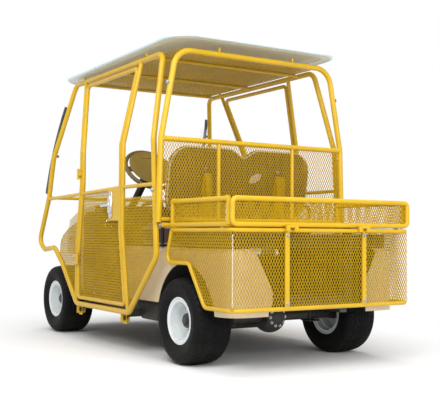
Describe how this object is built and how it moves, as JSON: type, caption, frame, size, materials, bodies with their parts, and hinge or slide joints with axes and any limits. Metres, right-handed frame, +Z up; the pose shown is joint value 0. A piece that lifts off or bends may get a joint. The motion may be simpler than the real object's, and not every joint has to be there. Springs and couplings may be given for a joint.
{
  "type": "driving range golf cart with cage",
  "caption": "Two-seat golf cart for range service, with a tube and mesh cage, doors, a mesh load tray with a drop tailgate, and a moulded canopy.",
  "frame": {"origin": "on the ground under the middle of the overall length and width", "axes": "+X forward, +Y to the driver's left, +Z up"},
  "size_m": [2.627, 1.3366, 1.77],
  "materials": {
    "cage_yellow": "semi-gloss enamel",
    "mesh_yellow": "semi-gloss enamel on expanded mesh",
    "body_beige": "satin moulded",
    "canopy_white": "satin moulded",
    "dark_plastic": "textured",
    "floor_mat": "ribbed mat",
    "battery_case": "moulded",
    "black_steel": "satin",
    "cast_black": "painted casting",
    "spring_steel": "oiled",
    "seat_vinyl": "grained vinyl",
    "seat_shell": "moulded",
    "tyre_rubber": "matte",
    "rim_white": "gloss enamel",
    "latch_chrome": "polished",
    "clear_screen": "clear sheet"
  },
  "bodies": {
    "chassis": {"chassis_frame": "black_steel", "rear_axle": "cast_black", "front_axle": "cast_black", "leaf_springs": "spring_steel", "rear_body": "body_beige", "bag_deck": "dark_plastic", "floor_pan": "floor_mat", "front_cowl": "body_beige", "dashboard": "dark_plastic", "battery_pack": "battery_case", "pedals": "black_steel", "seat_cushion": "seat_vinyl", "seat_back": "seat_vinyl", "seat_back_shell": "seat_shell", "seat_brackets": "cage_yellow", "hip_restraints": "black_steel", "cage_side_left": "cage_yellow", "cage_side_right": "cage_yellow", "cage_rear_frame": "cage_yellow", "cage_cross_rails": "cage_yellow", "cage_mesh": "mesh_yellow", "tray_frame": "cage_yellow", "tray_mesh": "mesh_yellow", "skirt_frame": "cage_yellow", "skirt_mesh": "mesh_yellow", "canopy": "canopy_white", "windshield": "clear_screen"},
    "steering_wheel_body": {"steering_wheel": "dark_plastic"},
    "steered_left": {"knuckle_left": "cast_black"},
    "steered_right": {"knuckle_right": "cast_black"},
    "tie_rod_body": {"tie_rod": "spring_steel"},
    "front_wheel_left": {"tyre_front_left": "tyre_rubber", "rim_front_left": "rim_white"},
    "front_wheel_right": {"tyre_front_right": "tyre_rubber", "rim_front_right": "rim_white"},
    "rear_wheel_left": {"tyre_rear_left": "tyre_rubber", "rim_rear_left": "rim_white"},
    "rear_wheel_right": {"tyre_rear_right": "tyre_rubber", "rim_rear_right": "rim_white"},
    "door_left": {"door_frame_left": "cage_yellow", "door_mesh_left": "mesh_yellow", "door_latch_left": "latch_chrome"},
    "door_right": {"door_frame_right": "cage_yellow", "door_mesh_right": "mesh_yellow", "door_latch_right": "latch_chrome"},
    "tailgate_body": {"tailgate": "cage_yellow", "tailgate_mesh": "mesh_yellow"}
  },
  "joints": [
    {"name": "steering_wheel_turn", "type": "hinge", "parent": "chassis", "child": "steering_wheel_body", "pos_m": [0.0895, 0.3, 1.083], "axis": [-0.7431, 0, 0.6691], "range_deg": [-270, 270]},
    {"name": "steer_left", "type": "hinge", "parent": "chassis", "child": "steered_left", "pos_m": [0.9635, 0.345, 0.2285], "axis": [0, 0, 1], "range_deg": [-30, 30]},
    {"name": "steer_right", "type": "hinge", "parent": "chassis", "child": "steered_right", "pos_m": [0.9635, -0.345, 0.2285], "axis": [0, 0, 1], "range_deg": [-30, 30]},
    {"name": "tie_rod_slide", "type": "slide", "parent": "chassis", "child": "tie_rod_body", "axis": [0, 1, 0], "range_m": [-0.058, 0.058]},
    {"name": "front_wheel_left_spin", "type": "hinge", "parent": "steered_left", "child": "front_wheel_left", "pos_m": [0.9635, 0.486, 0.2285], "axis": [0, 1, 0], "continuous": true},
    {"name": "front_wheel_right_spin", "type": "hinge", "parent": "steered_right", "child": "front_wheel_right", "pos_m": [0.9635, -0.486, 0.2285], "axis": [0, 1, 0], "continuous": true},
    {"name": "rear_wheel_left_spin", "type": "hinge", "parent": "chassis", "child": "rear_wheel_left", "pos_m": [-0.7865, 0.486, 0.2285], "axis": [0, 1, 0], "continuous": true},
    {"name": "rear_wheel_right_spin", "type": "hinge", "parent": "chassis", "child": "rear_wheel_right", "pos_m": [-0.7865, -0.486, 0.2285], "axis": [0, 1, 0], "continuous": true},
    {"name": "door_left_swing", "type": "hinge", "parent": "chassis", "child": "door_left", "pos_m": [0.4055, 0.651, 0.79], "axis": [0, 0, -1], "range_deg": [0, 100]},
    {"name": "door_right_swing", "type": "hinge", "parent": "chassis", "child": "door_right", "pos_m": [0.4055, -0.651, 0.79], "axis": [0, 0, 1], "range_deg": [0, 100]},
    {"name": "tailgate_drop", "type": "hinge", "parent": "chassis", "child": "tailgate_body", "pos_m": [-1.3065, 0, 0.72], "axis": [0, -1, 0], "range_deg": [0, 175]}
  ],
  "couplings": [
    {"joint": "steer_left", "follows": "steering_wheel_turn", "ratio": 0.111},
    {"joint": "steer_right", "follows": "steering_wheel_turn", "ratio": 0.111},
    {"joint": "tie_rod_slide", "follows": "steering_wheel_turn", "m_per_rad": -0.01221}
  ]
}
